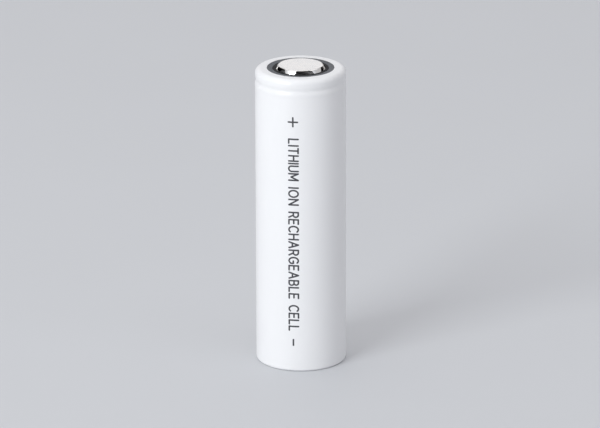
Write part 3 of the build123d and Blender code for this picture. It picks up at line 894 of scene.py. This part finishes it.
class CELL_OT_cap(bpy.types.Operator):
    """Build the vented cap that stands for the positive_cap node"""

    bl_idname = "cell.cap"
    bl_label = "Positive Cap"

    def execute(self, context):
        settings = context.scene.cell_cap
        mount(build_cap(settings), plate_finish(settings), ["positive_cap"])
        return {"FINISHED"}


class CELL_OT_washer(bpy.types.Operator):
    """Build the fibre washer that stands for the top_washer node, and finish the seal inside it in near
    black, partly its own black plastic and partly painted shade of the deep ring round the cap
    """

    bl_idname = "cell.washer"
    bl_label = "Washer and Seal"

    def execute(self, context):
        settings = context.scene.cell_cap
        mount(build_washer(settings), fibre_finish(settings), ["top_washer"])
        # The seal is near black and barely reflects: partly its own black plastic, partly painted shade
        # of the deep ring round the cap
        seal = moulded_finish("seal_plastic", tuple(settings.seal_and_shade_colour), 0.6)
        seal.node_tree.nodes["Principled BSDF"].inputs["Specular IOR Level"].default_value = 0.15
        cover_nodes(seal, "gasket_plastic")
        return {"FINISHED"}


class CELL_OT_print(bpy.types.Operator):
    """Print the line of generic words and the two polarity signs on the sleeve"""

    bl_idname = "cell.print"
    bl_label = "Printed Line"

    def execute(self, context):
        settings = context.scene.cell_print
        mount(build_print(settings), ink_finish(settings))
        return {"FINISHED"}


class CELL_OT_can(bpy.types.Operator):
    """Finish the steel can and the pin"""

    bl_idname = "cell.can"
    bl_label = "Can and Pin"

    def execute(self, context):
        cover_nodes(drawn_finish("plated_can", slot_colour("can_steel"), 0.28), "can_steel")
        cover_nodes(drawn_finish("pin_strip", slot_colour("pin_steel"), 0.35), "pin_steel")
        return {"FINISHED"}


class CELL_OT_header(bpy.types.Operator):
    """Finish the discs under the cap and the insulators"""

    bl_idname = "cell.header"
    bl_label = "Header Discs"

    def execute(self, context):
        # The disc's colour is darkened to 0.6 as painted shade inside the cap, where it shows through
        # the vent windows
        disc_in_painted_shade = shade(slot_colour("disc_aluminium"), 0.6)
        cover_nodes(drawn_finish("pressed_disc", disc_in_painted_shade, 0.5), "disc_aluminium")
        insulator = moulded_finish("insulator_sheet", slot_colour("insulator_plastic"), 0.55)
        cover_nodes(insulator, "insulator_plastic")
        return {"FINISHED"}


class CELL_OT_winding(bpy.types.Operator):
    """Finish the foils, coats, separators, tabs and tapes of the winding"""

    bl_idname = "cell.winding"
    bl_label = "Winding"

    def execute(self, context):
        cover_nodes(drawn_finish("copper_strip", slot_colour("copper_foil"), 0.3), "copper_foil")
        cover_nodes(drawn_finish("bright_strip", slot_colour("aluminium_foil"), 0.3), "aluminium_foil")
        cover_nodes(drawn_finish("tab_strip", slot_colour("aluminium_tab"), 0.32), "aluminium_tab")
        cover_nodes(drawn_finish("nickel_strip", slot_colour("nickel_tab"), 0.32), "nickel_tab")
        cover_nodes(coat_finish("graphite_coat", slot_colour("anode_graphite")), "anode_graphite")
        cover_nodes(coat_finish("oxide_coat", slot_colour("cathode_oxide")), "cathode_oxide")
        separator = moulded_finish("separator_skin", slot_colour("separator_film"), 0.6)
        cover_nodes(separator, "separator_film")
        cover_nodes(moulded_finish("amber_tape", slot_colour("tape_film"), 0.35), "tape_film")
        return {"FINISHED"}


def area_light(name, place, size, tint, power, target):
    """A soft rectangular light at a place, facing a target."""
    data = bpy.data.lights.new(name, "AREA")
    data.shape = "RECTANGLE"
    data.size, data.size_y = size
    data.energy = power
    data.color = tint
    light = bpy.data.objects.new(name, data)
    light.location = place
    light.rotation_euler = (Vector(target) - Vector(place)).to_track_quat("-Z", "Y").to_euler()
    bpy.context.scene.collection.objects.link(light)


class CELL_OT_stage(bpy.types.Operator):
    """Set the floor, the soft lights and the camera"""

    bl_idname = "cell.stage"
    bl_label = "Stage"

    def execute(self, context):
        settings = context.scene.cell_stage
        middle = Vector((0, 0, LIP_LEVEL / 2))
        self.lay_floor(settings)
        self.hang_lights(settings, middle)
        self.set_camera(context, settings, middle)
        context.scene.view_settings.view_transform = "Standard"
        return {"FINISHED"}

    def lay_floor(self, settings):
        """A wide flat sheet on the plane that the cell stands on."""
        side = np.linspace(-FLOOR_REACH, FLOOR_REACH, FLOOR_STEPS)
        x, y = np.meshgrid(side, side)
        points = np.stack((x, y, np.zeros_like(x)), axis=-1)
        floor = make_piece("floor", points, grid_faces(FLOOR_STEPS, FLOOR_STEPS))
        base = tuple(settings.floor_colour)
        finish = Finish("pale_floor", roughness=0.55)
        cloud = finish.grain(0.05, 0.05)
        finish.use(finish.colours(cloud, shade(base, 0.985), base), "Base Color")
        finish.use(finish.between(cloud, 0.5, 0.6), "Roughness")
        floor.data.materials.append(finish.material)

    def hang_lights(self, settings, middle):
        """A large key at the front left, weaker soft lights at the right, above and behind."""
        world = bpy.data.worlds.new("studio")
        world.use_nodes = True
        sky = world.node_tree.nodes["Background"]
        sky.inputs["Color"].default_value = SKY_COLOUR
        sky.inputs["Strength"].default_value = settings.sky
        bpy.context.scene.world = world
        for name, (place, size, tint) in LIGHTS.items():
            area_light(name, place, size, tint, getattr(settings, f"{name}_power"), middle)

    def set_camera(self, context, settings, middle):
        """A long lens that looks down on the cell's -Y side."""
        data = bpy.data.cameras.new("camera")
        data.sensor_width = SENSOR_WIDTH
        data.lens = settings.lens
        data.shift_x = settings.shift_x
        data.shift_y = settings.shift_y
        data.clip_start = 0.01
        camera = bpy.data.objects.new("camera", data)
        away = Vector((0, -cos(settings.elevation), sin(settings.elevation)))
        camera.location = middle + settings.distance * away
        aim = (-away).to_track_quat("-Z", "Y").to_matrix()
        camera.rotation_euler = (aim @ Matrix.Rotation(settings.roll, 3, "Z")).to_euler()
        context.scene.collection.objects.link(camera)
        context.scene.camera = camera


OPERATORS = (
    CELL_OT_sleeve,
    CELL_OT_cap,
    CELL_OT_washer,
    CELL_OT_print,
    CELL_OT_can,
    CELL_OT_header,
    CELL_OT_winding,
    CELL_OT_stage,
)


class CELL_PT_panel(bpy.types.Panel):
    """The cell's pieces and finishes"""

    bl_idname = "CELL_PT_panel"
    bl_label = "Cylindrical Cell"
    bl_space_type = "VIEW_3D"
    bl_region_type = "UI"
    bl_category = "Cell"

    def draw(self, context):
        for operator in OPERATORS:
            self.layout.operator(operator.bl_idname)
        for name, kind in SETTINGS.items():
            box = self.layout.box()
            for key in kind.__annotations__:
                box.prop(getattr(context.scene, name), key)


SETTINGS = {
    "cell_sleeve": SleeveSettings,
    "cell_cap": CapSettings,
    "cell_print": PrintSettings,
    "cell_stage": StageSettings,
}


def register():
    """Adds the settings, the operators and the panel."""
    for kind in (*SETTINGS.values(), *OPERATORS, CELL_PT_panel):
        bpy.utils.register_class(kind)
    for name, kind in SETTINGS.items():
        setattr(bpy.types.Scene, name, PointerProperty(type=kind))


def unregister():
    """Takes them away again."""
    for name in SETTINGS:
        delattr(bpy.types.Scene, name)
    for kind in reversed((*SETTINGS.values(), *OPERATORS, CELL_PT_panel)):
        bpy.utils.unregister_class(kind)


def main():
    """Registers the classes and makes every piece."""
    register()
    bpy.ops.cell.sleeve()
    bpy.ops.cell.cap()
    bpy.ops.cell.washer()
    bpy.ops.cell.print()
    bpy.ops.cell.can()
    bpy.ops.cell.header()
    bpy.ops.cell.winding()
    bpy.ops.cell.stage()


if __name__ == "__main__":
    main()
